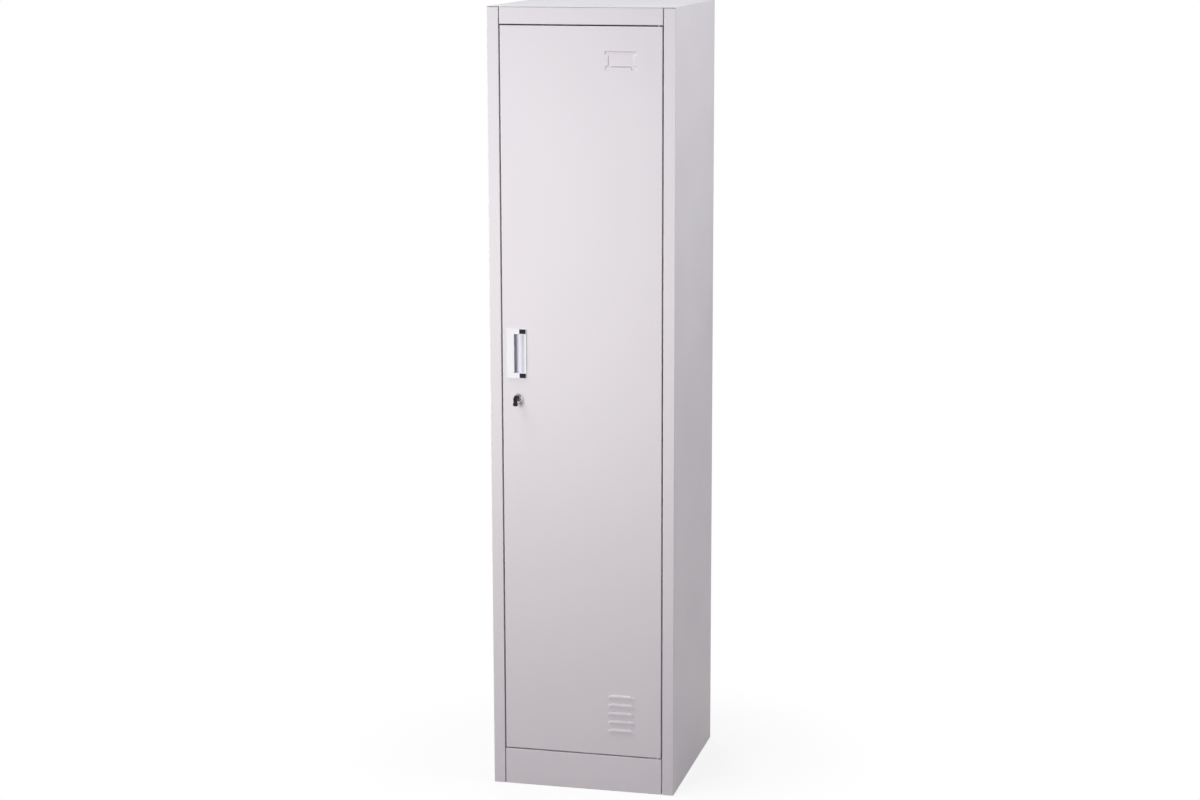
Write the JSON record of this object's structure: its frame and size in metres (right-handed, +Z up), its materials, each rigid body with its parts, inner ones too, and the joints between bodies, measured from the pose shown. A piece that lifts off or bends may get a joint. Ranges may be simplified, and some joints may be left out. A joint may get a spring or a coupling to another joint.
{
  "type": "metal locker",
  "caption": "Tall single-door folded-steel locker with recessed pull, cam lock and folding key, card frame and louvres; shelf and hanging rail inside.",
  "frame": {"origin": "middle of the base, on the floor", "axes": "+Z up, front of the locker faces -Y, +X to the right seen from the front"},
  "size_m": [0.44, 0.4776, 1.85],
  "materials": {
    "grey_coat": "fine satin",
    "bright_chrome": "polished",
    "zinc_plate": "satin",
    "black_plastic": "satin",
    "white_nylon": "matt",
    "black_rubber": "matt"
  },
  "bodies": {
    "cabinet": {"left_side_panel": "grey_coat", "right_side_panel": "grey_coat", "back_panel": "grey_coat", "top_panel": "grey_coat", "base_tray": "grey_coat", "shelf": "grey_coat", "left_shelf_bracket": "grey_coat", "right_shelf_bracket": "grey_coat", "hanging_rail": "bright_chrome", "left_rail_socket": "zinc_plate", "right_rail_socket": "zinc_plate", "rail_rivets": "zinc_plate", "top_hinge_pin": "zinc_plate", "bottom_hinge_pin": "zinc_plate", "frame_screws": "zinc_plate", "frame_nuts": "zinc_plate", "back_screws": "zinc_plate", "back_nuts": "zinc_plate", "door_buffers": "black_rubber"},
    "door": {"door_panel": "grey_coat", "door_stiffener": "grey_coat", "top_hinge_plate": "grey_coat", "bottom_hinge_plate": "grey_coat", "top_hinge_bush": "white_nylon", "bottom_hinge_bush": "white_nylon", "handle_bezel": "bright_chrome", "handle_cup": "bright_chrome", "handle_inserts": "black_plastic", "handle_screws": "zinc_plate", "lock_housing": "bright_chrome", "lock_nut": "zinc_plate"},
    "lock": {"lock_plug": "bright_chrome", "lock_cam": "zinc_plate", "cam_screw": "zinc_plate"},
    "key": {"key_blade": "bright_chrome", "key_collar": "black_plastic", "key_pin": "zinc_plate"},
    "key_grip": {"key_head": "black_plastic"}
  },
  "joints": [
    {"name": "door_hinge", "type": "hinge", "parent": "cabinet", "child": "door", "pos_m": [0.18, -0.217, 0.9485], "axis": [0, 0, 1], "range_deg": [0, 110]},
    {"name": "lock_turn", "type": "hinge", "parent": "door", "child": "lock", "pos_m": [-0.1535, -0.225, 0.947], "axis": [0, 1, 0], "range_deg": [0, 90]},
    {"name": "key_pull", "type": "slide", "parent": "lock", "child": "key", "axis": [0, -1, 0], "range_m": [0, 0.025]},
    {"name": "key_fold", "type": "hinge", "parent": "key", "child": "key_grip", "pos_m": [-0.1535, -0.2476, 0.947], "axis": [-1, 0, 0], "range_deg": [0, 90]}
  ]
}
